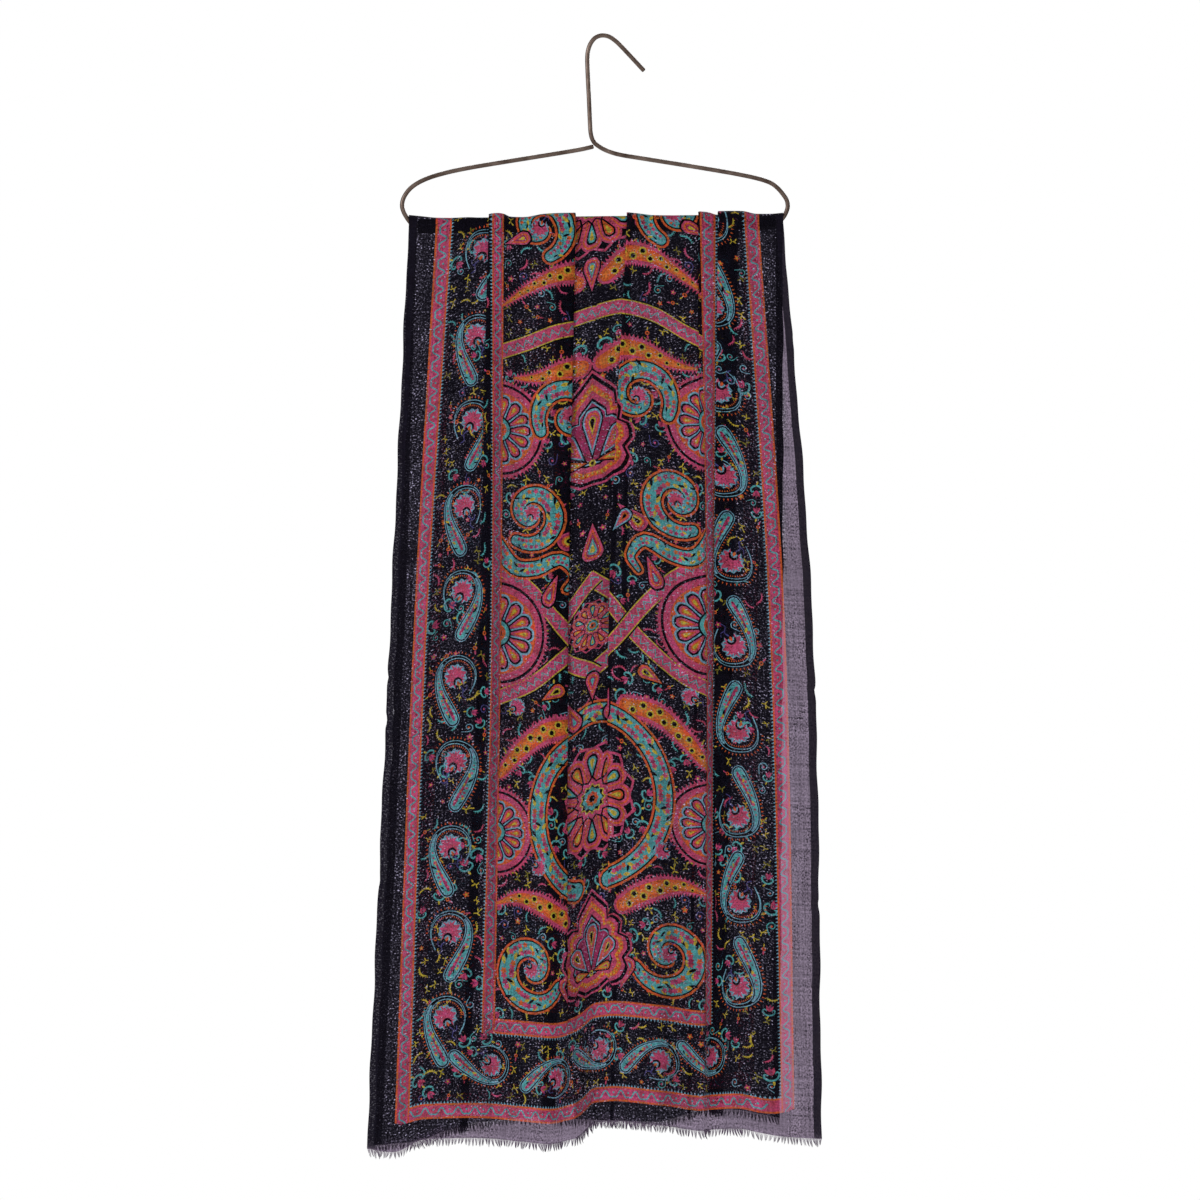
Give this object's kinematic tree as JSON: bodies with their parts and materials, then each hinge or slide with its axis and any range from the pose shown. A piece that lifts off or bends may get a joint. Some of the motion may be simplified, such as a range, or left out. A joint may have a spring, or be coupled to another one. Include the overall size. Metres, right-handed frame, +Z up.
{
  "type": "printed scarf hung double over a wire hanger",
  "caption": "Sheer printed scarf with woven selvedges and a short eyelash fringe, folded double over the round bar of a bent wire hanger.",
  "frame": {"origin": "the inside of the hook's crown, where the hanger rests on a rail", "axes": "+Z up, the front drop towards -Y, +X to the right as seen from the front"},
  "size_m": [0.4551, 0.0544, 1.1266],
  "materials": {
    "cloth": "sheer printed gauze",
    "fringe": "loose threads",
    "wire": "dark bronze lacquer",
    "bar": "black sleeve"
  },
  "bodies": {
    "root": {"front_drop": "cloth", "back_drop": "cloth", "fringe_front": "fringe", "fringe_back": "fringe", "hook": "wire", "shoulder_left": "wire", "shoulder_right": "wire", "bar": "bar"}
  },
  "joints": []
}
